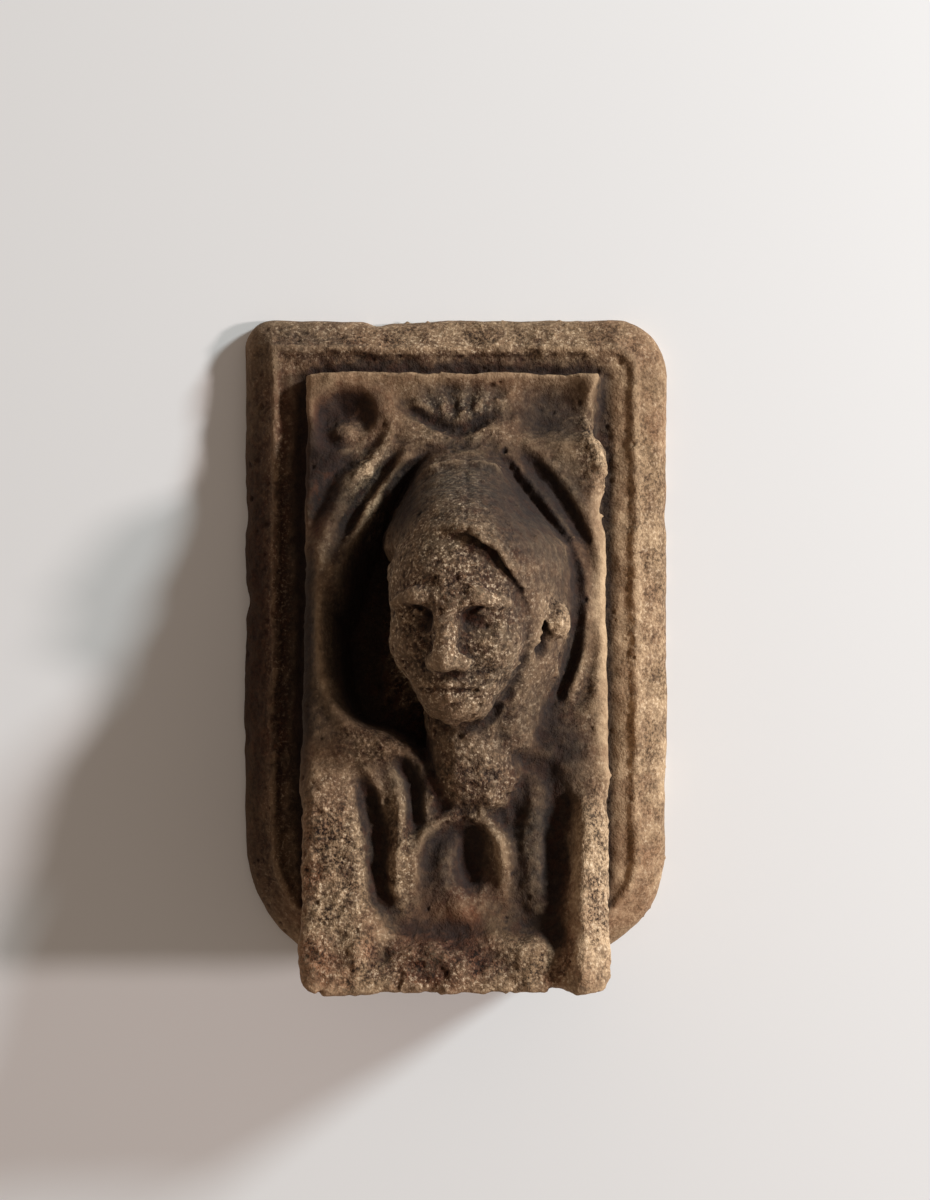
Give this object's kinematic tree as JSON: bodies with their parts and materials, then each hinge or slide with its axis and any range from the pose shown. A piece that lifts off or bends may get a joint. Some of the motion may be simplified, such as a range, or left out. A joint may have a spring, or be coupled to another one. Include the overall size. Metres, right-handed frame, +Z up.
{
  "type": "stone corbel",
  "caption": "Weathered carved stone corbel: moulded wall plate and a wedge block leaning outward, carved with a hooded head in a banded niche.",
  "frame": {"origin": "centre of the flat back face, on the wall", "axes": "+X to the viewer's right, +Y into the wall, +Z up"},
  "size_m": [0.2, 0.1153, 0.298],
  "materials": {
    "weathered_stone": "coarse, pitted, dark patina in the hollows"
  },
  "bodies": {
    "root": {"stone_corbel": "weathered_stone"}
  },
  "joints": []
}
